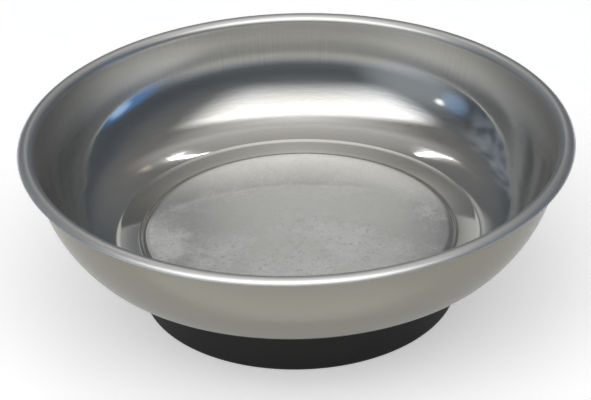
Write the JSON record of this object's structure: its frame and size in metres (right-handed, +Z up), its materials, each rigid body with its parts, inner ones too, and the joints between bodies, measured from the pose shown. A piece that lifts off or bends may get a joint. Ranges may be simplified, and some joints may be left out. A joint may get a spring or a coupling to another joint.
{
  "type": "magnetic parts tray",
  "caption": "Round magnetic parts tray: a pressed stainless dish with a rolled rim and a raised floor, on a rubber-covered magnet base that keeps loose screws in place.",
  "frame": {"origin": "middle of the flat ring that the tray stands on, at table level", "axes": "+Z up along the tray's own axis; the tray is round, so X and Y may point anywhere across it"},
  "size_m": [0.15, 0.15, 0.0475],
  "materials": {
    "stainless": "satin stainless sheet with fine hairlines, hazed and scratched on the floor",
    "boot_rubber": "moulded black rubber, matt with a faint bloom",
    "ferrite": "sintered ferrite with ground faces",
    "plated_steel": "zinc plated, dull silver",
    "spacer_plastic": "natural nylon"
  },
  "bodies": {
    "root": {"bowl": "stainless", "weld_stud": "plated_steel", "magnet_cup": "plated_steel", "ring_magnet": "ferrite", "spacer_ring": "spacer_plastic", "clamp_washer": "plated_steel", "spring_washer": "plated_steel", "lock_nut": "plated_steel", "rubber_boot": "boot_rubber"}
  },
  "joints": []
}
